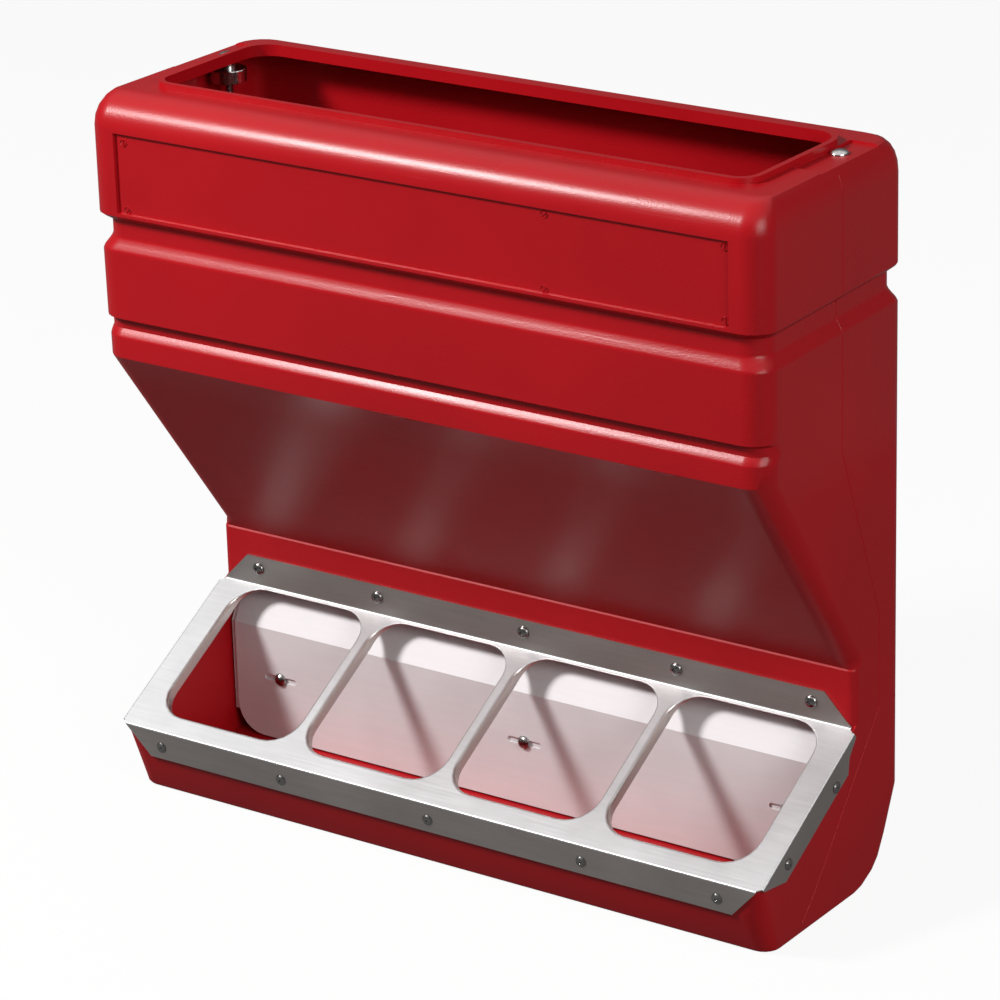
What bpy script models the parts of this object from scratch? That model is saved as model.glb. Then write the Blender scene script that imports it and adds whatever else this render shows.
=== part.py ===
"""Nursery feeder for weaned pigs: a moulded plastic hopper and trough with a steel feeding frame.

Metres, +Z up, +Y towards the back, origin under the middle of the feeder on the floor.
Depths are counted from the front bend of the steel frame, and at_depth() places them.
The hopper is one open skin, lofted through level rings and given its wall by Solidify.
The steel pieces are skins of folded sheet, given their gauge the same way.
"""
import math

import bmesh
import bpy
from mathutils import Matrix, Vector

# Clearance between touching pieces, and the distance within which points count as one
GAP = 0.0003
MERGE = 0.000001

# Hopper and trough, one moulding: overall sizes, and how far its levels lie inside the cap's sides
BODY_DEPTH = 0.212
WALL = 0.0045
CAP_HALF_WIDTH = 0.305
BAND_INSET = 0.0005
BASE_INSET = 0.0065
BACK_INSET = 0.007
CORNER_RADIUS = 0.020
BACK_CORNER_RADIUS = 0.015
CORNER_STEPS = 5
SPLIT_MARGIN = 0.002

# Heights of the moulding
DECK_HEIGHT = 0.581
MOUTH_LIP = 0.0046
CAP_HEIGHT = 0.0945
GROOVE_HEIGHT = 0.0305
BAND_HEIGHT = 0.053
SKIRT_HEIGHT = 0.016
THROAT_RISE = 0.04495
STRIP_DROP = 0.0034
BACK_CHAMFER_HEIGHT = 0.069
TROUGH_LEVELS = (0.010, 0.018)

# Radius of the trough's front corners: at its foot, under the frame's flange and at its rim
TROUGH_RADII = (0.014, 0.017, 0.0065)

# Depths of the moulding
CAP_FRONT = 0.0034
BAND_FRONT = 0.0048
SKIRT_FRONT = 0.0064
TROUGH_FOOT = 0.0186
BACK_CHAMFER_DEPTH = 0.032
BASE_SETBACK = 0.060
BASE_TURN = 9
BASE_ROUND = 0.003
THROAT_RADIUS = 0.007
THROAT_BEAD = 0.0012
SLANT_RADIUS = 0.016
SLANT_SHARES = (0.04, 0.5, 1.0)

# Groove under the cap and bead above the skirt: their depth, then rises and shares of that depth
GROOVE_DEPTH = 0.006
GROOVE_PROFILE = ((0.0, 0.0), (0.0030, 0.2), (0.0062, 0.53), (0.0100, 0.87), (0.0125, 1.0),
                  (0.0245, 1.0), (0.0286, 0.15))
BEAD_DEPTH = 0.0044
BEAD_PROFILE = ((0.0, 0.0), (0.0020, 0.18), (0.0050, 0.62), (0.0070, 1.0), (0.0140, 0.95),
                (0.0155, 0.3), (0.0170, 0.0))

# Rounding of the cap: how far it goes in at each side, and how far down
ROUND_FRONT = 0.027
ROUND_SIDE = 0.015
ROUND_BACK = 0.010
ROUND_DROP = 0.026
ROUND_STEPS = 5

# Share by which the side's rounding has narrowed at the back, and the deck's corners in plan
ROUND_TAPER = 0.5
DECK_RADIUS = 0.008
DECK_BACK_RADIUS = 0.022

# Bare panel sunk in the cap's front
PANEL_SIDE = 0.029
PANEL_FOOT = 0.0025
PANEL_HEIGHT = 0.0640
PANEL_SINK = 0.0025
PANEL_DRAFT = 0.0008

# Fill mouth in the deck
MOUTH_SIDE = 0.0395
MOUTH_FRONT = 0.0472
MOUTH_SETBACK = 0.0355
MOUTH_RADIUS = 0.014
MOUTH_BACK_RADIUS = 0.020

# Steel frame over the trough
SHEET = 0.0012
FRAME_STAND = 0.0035
FRAME_BEND_HEIGHT = 0.0596
FRAME_SLOPE = math.radians(30.0)
FRAME_LENGTH = 0.1581
FRAME_CORNER_CUT = 0.0037
BEND_RADIUS = 0.0016
BEND_STEPS = 2
TOP_FLANGE = 0.0248
TOP_FLANGE_CUT = 0.0235
FRONT_FLANGE = 0.0252
FRONT_FLANGE_CUT = 0.0221
FRONT_FLANGE_LEAN = math.radians(6.6)

# Side flanges of the frame: their depth, where it changes, and its share at each of those places
SIDE_FLANGE = 0.0197
SIDE_FLANGE_RAMP = 0.028
SIDE_FLANGE_END = 0.0266
SIDE_FLANGE_TIP = 0.0183
SIDE_FLANGE_SHARES = (0.03, 1.0, 1.0, 0.46, 0.15)

# Head openings in the frame, with their turned-down lips
OPENINGS = 4
OPENING_MARGIN_SIDE = 0.0245
OPENING_DIVIDER = 0.011
OPENING_START = 0.0188
OPENING_MARGIN = 0.0030
OPENING_RADIUS = 0.025
OPENING_STEPS = 6
LIP_RADIUS = 0.003
LIP_DEPTH = 0.009
LIP_FADE = 0.022
LIP_LEAST = 0.1

# Fixings of the frame: places as shares of its half width and of its length
BOLT_SHARES = (-0.8685, -0.4702, 0.0, 0.4702, 0.8685)
BOLT_RISE = 0.0143
BOLT_RADIUS = 0.0025
BOLT_HEAD_RADIUS = 0.0053
BOLT_HEAD_HEIGHT = 0.0030
BOLT_NUT_FLATS = 0.008
BOLT_NUT_HEIGHT = 0.0030
BOLT_END = 0.0008
RIVET_RADIUS = 0.0020
RIVET_HEAD_RADIUS = 0.0047
RIVET_HEAD_HEIGHT = 0.0014
RIVET_HOLE_RADIUS = 0.0011
RIVET_HOLE_DEPTH = 0.0012
RIVET_TAIL_RADIUS = 0.0032
RIVET_TAIL_TIP = 0.0028
RIVET_DROP = 0.0147
SIDE_RIVETS = ((0.2385, 0.0121), (0.7255, 0.0162))

# Feed gate, and the agitator plate that slides across its face
PLATE_LEAD = 0.0044
PLATE_BEND_DROP = 0.0360
PLATE_SLOPE = math.radians(30.0)
AGITATOR_BOTTOM = 0.006
AGITATOR_RISE = 0.027
AGITATOR_TRAVEL = 0.005
AGITATOR_CORNER = 0.025
SIDE_CLEARANCE = 0.0006
GATE_BOTTOM = 0.024
GATE_LEDGE_RISE = 0.0375
GATE_WEB_SETBACK = 0.0082
GATE_LEDGE_GAP = 0.0034
GATE_SIDE_GAP = 0.0018

# Screws that carry the agitator plate in its slots: places as shares of the frame's half width
SLOT_SHARES = (-0.8030, 0.0, 0.8030)
SLOT_LENGTH = 0.032
SLOT_HEIGHT = 0.0046
SLOT_LEVEL = 0.0600
SCREW_RADIUS = 0.0018
SCREW_HEAD_RADIUS = 0.0056
SCREW_HEAD_HEIGHT = 0.0034
SCREW_NUT_FLATS = 0.007
SCREW_NUT_HEIGHT = 0.0028

# Adjusting rods, their knobs and the nuts that they turn in
ROD_INSET = 0.0265
ROD_SETBACK = 0.0125
ROD_RADIUS = 0.0032
ROD_BELOW_LEDGE = 0.018
ROD_TIP = 0.001
ROD_HEAD_RADIUS = 0.0073
ROD_HEAD_HEIGHT = 0.0030
PAD_SINK = 0.0018
PAD_MARGIN = 0.0006
PAD_LEAD = 0.0519
PAD_LENGTH = 0.081
KNOB_RADIUS = 0.0146
KNOB_BEVEL = 0.0006
KNOB_RIM_HEIGHT = 0.0105
KNOB_RIM_WALL = 0.0030
KNOB_WEB = 0.004
KNOB_HUB_RADIUS = 0.0058
KNOB_HUB_HEIGHT = 0.0070
KNOB_TEETH = 24
KNOB_TOOTH = 0.0006
SET_SCREW_RADIUS = 0.0015
SET_SCREW_PROUD = 0.0006
ROD_NUT_FLATS = 0.0100
ROD_NUT_HEIGHT = 0.0052

# Facets of round shapes
ROUND_SIDES = 16
SMALL_SIDES = 12
DOME_TURN = math.radians(72.0)

# Places that follow from the driving sizes
BAND_HALF_WIDTH = CAP_HALF_WIDTH - BAND_INSET
BASE_HALF_WIDTH = CAP_HALF_WIDTH - BASE_INSET
BACK_HALF_WIDTH = CAP_HALF_WIDTH - BACK_INSET
CAP_FOOT = DECK_HEIGHT - CAP_HEIGHT
BAND_TOP = CAP_FOOT - GROOVE_HEIGHT
BAND_FOOT = BAND_TOP - BAND_HEIGHT
SKIRT_TOP = BAND_FOOT - BEAD_PROFILE[-1][0]
SLANT_TOP = SKIRT_TOP - SKIRT_HEIGHT
BASE_BACK = BODY_DEPTH - BASE_SETBACK
PANEL_HALF_WIDTH = CAP_HALF_WIDTH - PANEL_SIDE
MOUTH_HALF_WIDTH = CAP_HALF_WIDTH - MOUTH_SIDE
MOUTH_BACK = BODY_DEPTH - MOUTH_SETBACK
FRAME_HALF_WIDTH = BASE_HALF_WIDTH + FRAME_STAND
OPENING_SPAN = 2 * (FRAME_HALF_WIDTH - OPENING_MARGIN_SIDE)
OPENING_WIDTH = (OPENING_SPAN - OPENING_DIVIDER * (OPENINGS - 1)) / OPENINGS
OPENING_PITCH = OPENING_WIDTH + OPENING_DIVIDER
SLOPE_ALONG = Vector((0.0, math.cos(FRAME_SLOPE), math.sin(FRAME_SLOPE)))
SLOPE_OUT = Vector((0.0, -math.sin(FRAME_SLOPE), math.cos(FRAME_SLOPE)))
FRAME_TOP_DEPTH = FRAME_LENGTH * math.cos(FRAME_SLOPE)
FRAME_TOP_HEIGHT = FRAME_BEND_HEIGHT + FRAME_LENGTH * math.sin(FRAME_SLOPE)
THROAT_FACE = FRAME_TOP_DEPTH + SHEET + GAP
THROAT_HEIGHT = FRAME_TOP_HEIGHT + THROAT_RISE
SPLIT_DEPTH = THROAT_FACE + THROAT_RADIUS
STRIP_FOOT = FRAME_TOP_HEIGHT - STRIP_DROP
BOLT_X = [FRAME_HALF_WIDTH * share for share in BOLT_SHARES]
SLOT_X = [FRAME_HALF_WIDTH * share for share in SLOT_SHARES]
ROD_X = CAP_HALF_WIDTH - ROD_INSET
BOLT_HEIGHT = FRAME_TOP_HEIGHT + BOLT_RISE
AGITATOR_FACE = THROAT_FACE - PLATE_LEAD
PLATE_BEND = FRAME_TOP_HEIGHT - PLATE_BEND_DROP
GATE_FACE = AGITATOR_FACE + SHEET + GAP
ROD_DEPTH = THROAT_FACE + ROD_SETBACK
ROD_END = FRAME_TOP_HEIGHT + GATE_LEDGE_RISE - ROD_BELOW_LEDGE
GATE_WEB_FACE = ROD_DEPTH + GATE_WEB_SETBACK
GATE_LEDGE = FRAME_TOP_HEIGHT + GATE_LEDGE_RISE
GATE_LEDGE_FRONT = THROAT_FACE + WALL + GATE_LEDGE_GAP
PAD_FRONT = ROD_DEPTH - PAD_LEAD
PAD_HEIGHT = DECK_HEIGHT - PAD_SINK
DECK_UNDERSIDE = DECK_HEIGHT - WALL

COLOURS = {
    "red_plastic": ((0.42, 0.012, 0.022, 1.0), 0.0, 0.42),
    "brushed_steel": ((0.62, 0.60, 0.58, 1.0), 1.0, 0.34),
    "bright_steel": ((0.55, 0.54, 0.52, 1.0), 1.0, 0.22),
}


def at_depth(depth):
    """World Y of a depth counted from the frame's front bend."""
    return depth - BODY_DEPTH / 2


def place(x, depth, height):
    """World point of a side position, a depth and a height."""
    return Vector((x, at_depth(depth), height))


def clear_scene():
    """Remove what the scene holds."""
    for item in list(bpy.data.objects):
        bpy.data.objects.remove(item, do_unlink=True)


def new_collection(name):
    """Add an empty collection to the scene."""
    collection = bpy.data.collections.new(name)
    bpy.context.scene.collection.children.link(collection)
    return collection


def new_material(name, finish):
    """A Principled material for one piece."""
    colour, metallic, roughness = COLOURS[finish]
    material = bpy.data.materials.new(name)
    material.use_nodes = True
    shader = material.node_tree.nodes["Principled BSDF"]
    shader.inputs["Base Color"].default_value = colour
    shader.inputs["Metallic"].default_value = metallic
    shader.inputs["Roughness"].default_value = roughness
    material.diffuse_color = colour
    return material


def new_object(name, builder, collection, finish=None, origin=(0.0, 0.0, 0.0)):
    """Turn a bmesh in world coordinates into a named object with its origin at a point."""
    mesh = bpy.data.meshes.new(name)
    bmesh.ops.translate(builder, verts=builder.verts, vec=-Vector(origin))
    builder.to_mesh(mesh)
    builder.free()
    item = bpy.data.objects.new(name, mesh)
    item.location = origin
    collection.objects.link(item)
    if finish:
        mesh.materials.append(new_material(name, finish))
        mesh.shade_smooth()
        if mesh.polygons:
            mesh.set_sharp_from_angle(angle=math.radians(35.0))
    else:
        item.hide_render = True
        item.display_type = "WIRE"
    return item


def add_wall(item, thickness):
    """Give a skin its wall, on its inner side."""
    solidify = item.modifiers.new("wall", "SOLIDIFY")
    solidify.thickness = thickness
    solidify.offset = -1.0
    solidify.use_even_offset = True


def cut(item, cutter):
    """Take a cutter's shape out of a piece."""
    boolean = item.modifiers.new(cutter.name, "BOOLEAN")
    boolean.operation = "DIFFERENCE"
    boolean.object = cutter
    boolean.solver = "EXACT"


def add_spin(item, sides):
    """Spin a piece's profile about its own Z axis. Its outer side runs from top to foot."""
    screw = item.modifiers.new("spin", "SCREW")
    screw.steps = sides
    screw.render_steps = sides
    screw.use_merge_vertices = True
    screw.merge_threshold = MERGE


def arc(steps, start=0.0, turn=math.pi / 2):
    """Angles of an arc, both ends included."""
    return [start + turn * step / steps for step in range(steps + 1)]


def add_row(builder, points):
    """Vertices at a row of points."""
    return [builder.verts.new(point) for point in points]


def add_strip(builder, rows, closed=False):
    """Faces between neighbouring rows of vertices."""
    for row, after in zip(rows[:-1], rows[1:]):
        for index in range(len(row) if closed else len(row) - 1):
            follow = (index + 1) % len(row)
            builder.faces.new((row[index], row[follow], after[follow], after[index]))


def add_profile(builder, points, closed=False):
    """Edges between neighbouring points of a profile: their sideways reach and height."""
    row = add_row(builder, [(reach, 0.0, height) for reach, height in points])
    for pair in zip(row, row[1:] + row[:1] if closed else row[1:]):
        builder.edges.new(pair)


def facing(centre, axis):
    """Matrix that stands local Z along an axis at a centre."""
    turn = Vector((0.0, 0.0, 1.0)).rotation_difference(Vector(axis)).to_matrix().to_4x4()
    return Matrix.Translation(centre) @ turn


def add_cylinder(builder, centre, axis, radius, length, sides=ROUND_SIDES, turn=0.0):
    """A closed cylinder about a centre, along an axis and turned about it."""
    bmesh.ops.create_cone(builder, cap_ends=True, segments=sides, radius1=radius, radius2=radius,
                          depth=length, matrix=facing(centre, axis) @ Matrix.Rotation(turn, 4, "Z"))


def add_prism(builder, outline, push):
    """A closed prism: a flat outline of points, pushed along a vector."""
    base = builder.faces.new(add_row(builder, outline))
    pushed = bmesh.ops.extrude_face_region(builder, geom=[base])["geom"]
    corners = [item for item in pushed if isinstance(item, bmesh.types.BMVert)]
    bmesh.ops.translate(builder, verts=corners, vec=push)
    bmesh.ops.recalc_face_normals(builder, faces=builder.faces)


def face_outwards(builder, outwards):
    """Make a skin's faces agree, and turn them so that the one best along a direction faces it."""
    bmesh.ops.recalc_face_normals(builder, faces=builder.faces)
    builder.normal_update()
    best = max(builder.faces, key=lambda face: (round(abs(face.normal.dot(outwards)), 2), face.calc_area()))
    if best.normal.dot(outwards) < 0:
        bmesh.ops.reverse_faces(builder, faces=list(builder.faces))


# Hopper shell


def side_at(height, depth):
    """Half width of the moulding's side wall at a height and a depth."""
    front = CAP_HALF_WIDTH
    if height <= BAND_TOP:
        front = BASE_HALF_WIDTH + (BAND_HALF_WIDTH - BASE_HALF_WIDTH) * height / BAND_TOP
    return front + (BACK_HALF_WIDTH - front) * depth / BODY_DEPTH


def ring(height, front, back=BODY_DEPTH, inset=0.0, radius=CORNER_RADIUS,
         back_radius=BACK_CORNER_RADIUS, half_width=None, taper=0.0):
    """Plan points of one level, from the right split point round the front, the left and the back.

    Every ring has the same roles in the same order: a split point on the side, two front corners,
    the other split point and two back corners. taper is the share of the inset lost at the back.
    """
    def half(depth):
        return half_width or side_at(height, depth) - inset * (1 - taper * depth / BODY_DEPTH)

    middle = front + radius
    right_front = [(half(middle) - radius * (1 - math.cos(angle)), middle - radius * math.sin(angle))
                   for angle in arc(CORNER_STEPS)]
    middle = back - back_radius
    right_back = [(half(middle) - back_radius * (1 - math.cos(angle)),
                   middle + back_radius * math.sin(angle)) for angle in arc(CORNER_STEPS)]
    depth = max(front + radius, min(SPLIT_DEPTH, middle - SPLIT_MARGIN))
    right = [(half(depth), depth)] + right_front
    left = [(-x, depth) for x, depth in reversed(right)]
    left_back = [(-x, depth) for x, depth in right_back]
    return right + left + left_back + list(reversed(right_back))


FRONT_COUNT = 2 * (CORNER_STEPS + 2)
FRONT_EDGE = CORNER_STEPS + 1


def rim_height(depth):
    """Height of the trough's rim, under the sloped face of the frame."""
    return FRAME_BEND_HEIGHT + depth * math.tan(FRAME_SLOPE) - (SHEET + GAP) / math.cos(FRAME_SLOPE)


def trough_front(height):
    """Depth of the trough's front wall: it leans in below the frame's flange, and lies behind it."""
    flange_foot = FRAME_BEND_HEIGHT - FRONT_FLANGE * math.cos(FRONT_FLANGE_LEAN)
    behind = (SHEET + GAP) / math.cos(FRONT_FLANGE_LEAN)
    if height > flange_foot:
        return behind + (FRAME_BEND_HEIGHT - height) * math.tan(FRONT_FLANGE_LEAN)
    top = behind + (FRAME_BEND_HEIGHT - flange_foot) * math.tan(FRONT_FLANGE_LEAN)
    return top + (TROUGH_FOOT - top) * (1 - height / flange_foot)


def trough_back(height):
    """Depth of the back wall: upright, with a steep chamfer that turns into the base."""
    if height >= BACK_CHAMFER_HEIGHT:
        return BODY_DEPTH
    share = height / BACK_CHAMFER_HEIGHT
    straight = BODY_DEPTH - BACK_CHAMFER_DEPTH * (1 - share)
    return straight - (BODY_DEPTH - BACK_CHAMFER_DEPTH - BASE_BACK) * (1 - share) ** BASE_TURN


def trough_rows(builder):
    """Level rings of the trough, from the base up to its sloping rim."""
    rows = []
    foot_radius, flange_radius, rim_radius = TROUGH_RADII
    for angle in arc(2):
        height = BASE_ROUND * (1 - math.cos(angle))
        inset = BASE_ROUND * (1 - math.sin(angle))
        plan = ring(height, trough_front(height) + inset, trough_back(height), inset,
                    foot_radius - inset, BACK_CORNER_RADIUS - inset / 2)
        rows.append(add_row(builder, [place(x, depth, height) for x, depth in plan]))
    flange_foot = FRAME_BEND_HEIGHT - FRONT_FLANGE * math.cos(FRONT_FLANGE_LEAN)
    for height in (*TROUGH_LEVELS, flange_foot):
        radius = foot_radius + (flange_radius - foot_radius) * height / flange_foot
        plan = ring(height, trough_front(height), trough_back(height), radius=radius)
        rows.append(add_row(builder, [place(x, depth, height) for x, depth in plan]))
    rim_front = trough_front(FRAME_BEND_HEIGHT)
    plan = ring(BACK_CHAMFER_HEIGHT, rim_front, radius=rim_radius)
    points = []
    for index, (x, depth) in enumerate(plan):
        height = rim_height(depth) if index < FRONT_COUNT else BACK_CHAMFER_HEIGHT
        side = side_at(height, depth) - side_at(BACK_CHAMFER_HEIGHT, depth)
        points.append(place(x + math.copysign(side, x), depth, height))
    rows.append(add_row(builder, points))
    add_strip(builder, rows, closed=True)
    builder.faces.new(rows[0])
    return rows[-1]


def throat_rows(builder, rim):
    """The throat wall's foot, which hangs behind the frame, joined to the rim at the split points."""
    plan = ring(THROAT_HEIGHT, THROAT_FACE, radius=THROAT_RADIUS)
    right_end, left_end = rim[0].co, rim[FRONT_COUNT - 1].co
    hanging = [place(x, depth, STRIP_FOOT) for x, depth in plan[2:FRONT_COUNT - 2]]
    foot = add_row(builder, [right_end, right_end] + hanging + [left_end, left_end])
    throat = add_row(builder, [place(x, depth, THROAT_HEIGHT) for x, depth in plan])
    add_strip(builder, [foot, throat[:FRONT_COUNT]])
    back_rim = [rim[FRONT_COUNT - 1]] + rim[FRONT_COUNT:] + [rim[0]]
    back_throat = [throat[FRONT_COUNT - 1]] + throat[FRONT_COUNT:] + [throat[0]]
    add_strip(builder, [back_rim, back_throat])
    return throat


def hopper_levels():
    """Rings above the throat: height, front, inset of the back and the sides, front radius."""
    slant = (SKIRT_FRONT - THROAT_FACE - THROAT_BEAD) / (SLANT_TOP - THROAT_HEIGHT - THROAT_BEAD)
    bead_height = THROAT_HEIGHT + THROAT_BEAD
    levels = [(bead_height, THROAT_FACE + THROAT_BEAD, 0.0, THROAT_RADIUS)]
    for share in SLANT_SHARES:
        height = bead_height + (SLANT_TOP - bead_height) * share
        radius = SLANT_RADIUS + (CORNER_RADIUS - SLANT_RADIUS) * share
        levels.append((height, THROAT_FACE + THROAT_BEAD + (height - bead_height) * slant, 0.0, radius))
    for rise, sink in BEAD_PROFILE:
        front = BAND_FRONT if rise == BEAD_PROFILE[-1][0] else SKIRT_FRONT
        levels.append((SKIRT_TOP + rise, front + BEAD_DEPTH * sink, 0.0, CORNER_RADIUS))
    for rise, sink in GROOVE_PROFILE:
        inset = GROOVE_DEPTH * sink
        levels.append((BAND_TOP + rise, BAND_FRONT + inset, inset, CORNER_RADIUS))
    return levels


def cap_rows(builder):
    """Rings of the cap, its rounded shoulder, the flat deck and the upright lip of the fill mouth."""
    plans = [(CAP_FOOT, ring(CAP_FOOT, CAP_FRONT))]
    for angle in arc(ROUND_STEPS):
        inwards = 1 - math.cos(angle)
        height = DECK_HEIGHT - ROUND_DROP * (1 - math.sin(angle))
        radius = CORNER_RADIUS + (DECK_RADIUS - CORNER_RADIUS) * inwards
        back_radius = BACK_CORNER_RADIUS + (DECK_BACK_RADIUS - BACK_CORNER_RADIUS) * inwards
        plans.append((height, ring(height, CAP_FRONT + ROUND_FRONT * inwards,
                                   BODY_DEPTH - ROUND_BACK * inwards, ROUND_SIDE * inwards,
                                   radius, back_radius, taper=ROUND_TAPER)))
    mouth = ring(DECK_HEIGHT, MOUTH_FRONT - WALL, MOUTH_BACK + WALL, 0.0, MOUTH_RADIUS + WALL,
                 MOUTH_BACK_RADIUS + WALL, MOUTH_HALF_WIDTH + WALL)
    plans += [(DECK_HEIGHT, mouth), (DECK_HEIGHT + MOUTH_LIP, mouth)]
    return [add_row(builder, [place(x, depth, height) for x, depth in plan]) for height, plan in plans]


def sink_panel(builder, low, high):
    """Sink the bare panel into the flat front between two rings of the cap."""
    face = builder.faces.get((low[FRONT_EDGE], low[FRONT_EDGE + 1], high[FRONT_EDGE + 1],
                              high[FRONT_EDGE]))
    bmesh.ops.inset_individual(builder, faces=[face], thickness=PANEL_DRAFT)
    foot = CAP_FOOT + PANEL_FOOT
    middle = foot + PANEL_HEIGHT / 2
    for corner in face.verts:
        corner.co.x = math.copysign(PANEL_HALF_WIDTH, corner.co.x)
        corner.co.z = foot + PANEL_HEIGHT if corner.co.z > middle else foot
    bmesh.ops.inset_individual(builder, faces=[face], thickness=PANEL_DRAFT, depth=-PANEL_SINK)


def hopper_shell(collection, cutters):
    """The moulded hopper and trough."""
    builder = bmesh.new()
    rows = [throat_rows(builder, trough_rows(builder))]
    for height, front, inset, radius in hopper_levels():
        plan = ring(height, front, BODY_DEPTH - inset, inset, radius)
        rows.append(add_row(builder, [place(x, depth, height) for x, depth in plan]))
    cap = cap_rows(builder)
    add_strip(builder, rows + cap, closed=True)
    bmesh.ops.remove_doubles(builder, verts=builder.verts, dist=MERGE)
    face_outwards(builder, Vector((0.0, 0.0, -1.0)))
    sink_panel(builder, cap[0], cap[1])
    shell = new_object("hopper_shell", builder, collection, "red_plastic")
    add_wall(shell, WALL)
    cut(shell, pad_cutter(cutters))
    cut(shell, shell_holes(cutters))
    return shell


def pad_cutter(cutters):
    """The sunken pads round the rods' heads, at the two ends of the deck."""
    builder = bmesh.new()
    inner = MOUTH_HALF_WIDTH + WALL + PAD_MARGIN
    outer = CAP_HALF_WIDTH
    for side in (-1, 1):
        outline = [place(side * inner, PAD_FRONT, PAD_HEIGHT),
                   place(side * outer, PAD_FRONT, PAD_HEIGHT),
                   place(side * outer, PAD_FRONT + PAD_LENGTH, PAD_HEIGHT),
                   place(side * inner, PAD_FRONT + PAD_LENGTH, PAD_HEIGHT)]
        add_prism(builder, outline, Vector((0.0, 0.0, WALL)))
    return new_object("pad_cutter", builder, cutters)


def shell_holes(cutters):
    """Holes for the rods, the frame's bolts and the rivets."""
    builder = bmesh.new()
    for side in (-1, 1):
        add_cylinder(builder, place(side * ROD_X, ROD_DEPTH, DECK_HEIGHT), (0, 0, 1),
                     ROD_RADIUS + GAP, 4 * WALL)
    for x in BOLT_X:
        add_cylinder(builder, place(x, THROAT_FACE + WALL / 2, BOLT_HEIGHT), (0, 1, 0),
                     BOLT_RADIUS + GAP, 2 * WALL)
    for centre, axis in rivet_places():
        add_cylinder(builder, centre - axis * WALL / 2, axis, RIVET_RADIUS + GAP, 4 * WALL)
    return new_object("shell_holes", builder, cutters)


# Steel frame


def on_slope(x, along, out=0.0):
    """World point on the frame's sloped face, or at a height over it."""
    start = place(x, 0.0, FRAME_BEND_HEIGHT)
    return start + SLOPE_ALONG * along + SLOPE_OUT * out


def rivet_places():
    """Centres on the sheet's outer face, and outward axes, of the front and side rivets."""
    lean = FRONT_FLANGE_LEAN
    places = []
    for x in BOLT_X:
        centre = place(x, RIVET_DROP * math.sin(lean), FRAME_BEND_HEIGHT - RIVET_DROP * math.cos(lean))
        places.append((centre, Vector((0.0, -math.cos(lean), -math.sin(lean)))))
    for side in (-1, 1):
        for share, drop in SIDE_RIVETS:
            centre = on_slope(side * FRAME_HALF_WIDTH, FRAME_LENGTH * share, -drop)
            places.append((centre, Vector((side, 0.0, 0.0))))
    return places


def bend_rows(builder, edge, first, last, length, cuts):
    """A flange folded off a straight edge: the bend's arc, then the flat, with slanted ends.

    first and last are unit directions in the plane square to the bend: along the sheet before
    the bend and along the flange after it. cuts shortens the flange's free edge at each end.
    """
    turn = math.acos(max(-1.0, min(1.0, first.dot(last))))
    inward = (last - first * first.dot(last)).normalized()
    reach = BEND_RADIUS * math.tan(turn / 2)
    rows = [edge]
    base = [corner.co.copy() for corner in edge]
    middle = sum(base, Vector()) / len(base)
    for angle in arc(BEND_STEPS, 0.0, turn)[1:]:
        shift = first * BEND_RADIUS * math.sin(angle) + inward * BEND_RADIUS * (1 - math.cos(angle))
        rows.append(add_row(builder, [point + shift for point in base]))
    free = []
    for point in base:
        ends = (point - middle).length
        slide = (middle - point).normalized() * cuts if ends > 0 else Vector()
        free.append(point + first * reach + last * length + slide)
    rows.append(add_row(builder, free))
    add_strip(builder, rows)
    return rows


def opening_outline():
    """Points of a head opening's outline about its middle, with outward directions: x, along, out."""
    radius = OPENING_RADIUS
    low = OPENING_START + radius
    high = FRAME_LENGTH - OPENING_MARGIN - radius
    side = OPENING_WIDTH / 2 - radius
    points = []
    for x, along, start in ((side, high, 0.0), (-side, high, 90.0), (-side, low, 180.0), (side, low, 270.0)):
        for angle in arc(OPENING_STEPS, math.radians(start)):
            outward = (math.cos(angle), math.sin(angle))
            points.append((x + radius * outward[0], along + radius * outward[1], outward))
    return points


def opening_rows(builder, centre):
    """The lip of one head opening: a rolled edge, then a short turned-down wall that fades out."""
    outline = opening_outline()
    steps = [(LIP_RADIUS * (1 - math.sin(angle)), LIP_RADIUS * (1 - math.cos(angle)))
             for angle in arc(BEND_STEPS)]
    rows = []
    for outward, drop in steps + [(0.0, LIP_DEPTH)]:
        row = []
        for x, along, direction in outline:
            to_top = FRAME_LENGTH - OPENING_MARGIN - along
            fade = max(LIP_LEAST, min(1.0, to_top / LIP_FADE))
            row.append(on_slope(centre + x + direction[0] * outward * fade,
                                along + direction[1] * outward * fade, -drop * fade))
        rows.append(add_row(builder, row))
    add_strip(builder, rows, closed=True)
    return rows[0]


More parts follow.
